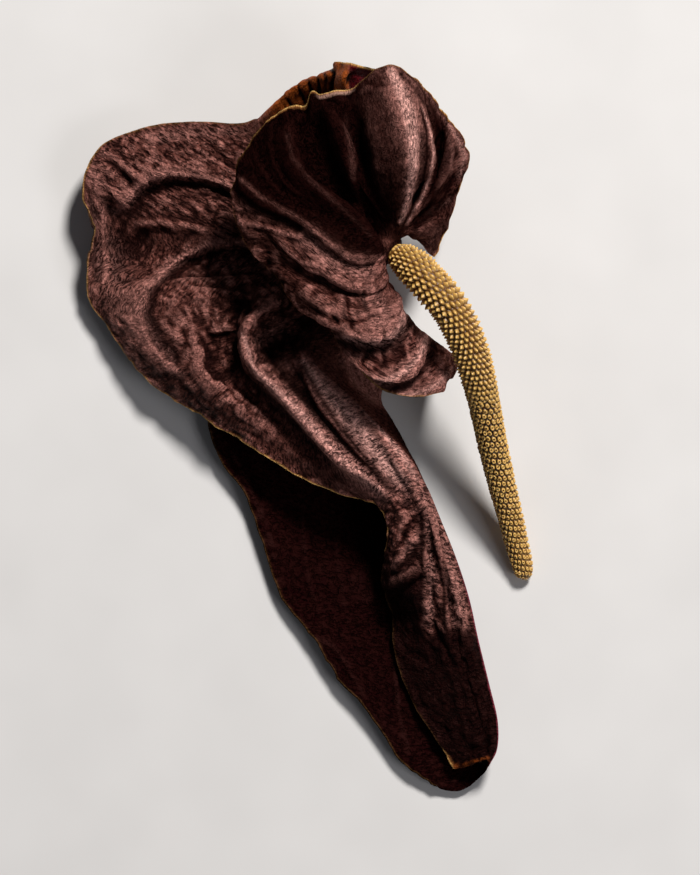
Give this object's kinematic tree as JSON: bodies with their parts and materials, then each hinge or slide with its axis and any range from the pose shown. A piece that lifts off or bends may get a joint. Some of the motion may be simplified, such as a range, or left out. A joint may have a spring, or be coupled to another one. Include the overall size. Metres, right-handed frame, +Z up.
{
  "type": "dried anthurium flower",
  "caption": "Dried anthurium flower laid on its back: a dark maroon, crumpled, folded-back spathe round a curved golden spadix covered in florets.",
  "frame": {"origin": "centre of the bounding box, on the surface that the flower lies on", "axes": "+Y from the spathe's tip towards its folded-back head, +X towards the spadix's tip, +Z up from the surface"},
  "size_m": [0.0908, 0.1464, 0.0461],
  "materials": {
    "spathe": "dry, finely wrinkled, dark maroon-brown with paler thin edges",
    "spadix": "dry golden-yellow florets",
    "stalk": "dry, faintly ribbed, brown"
  },
  "bodies": {
    "root": {"spathe": "spathe", "spadix": "spadix", "peduncle": "stalk"}
  },
  "joints": []
}
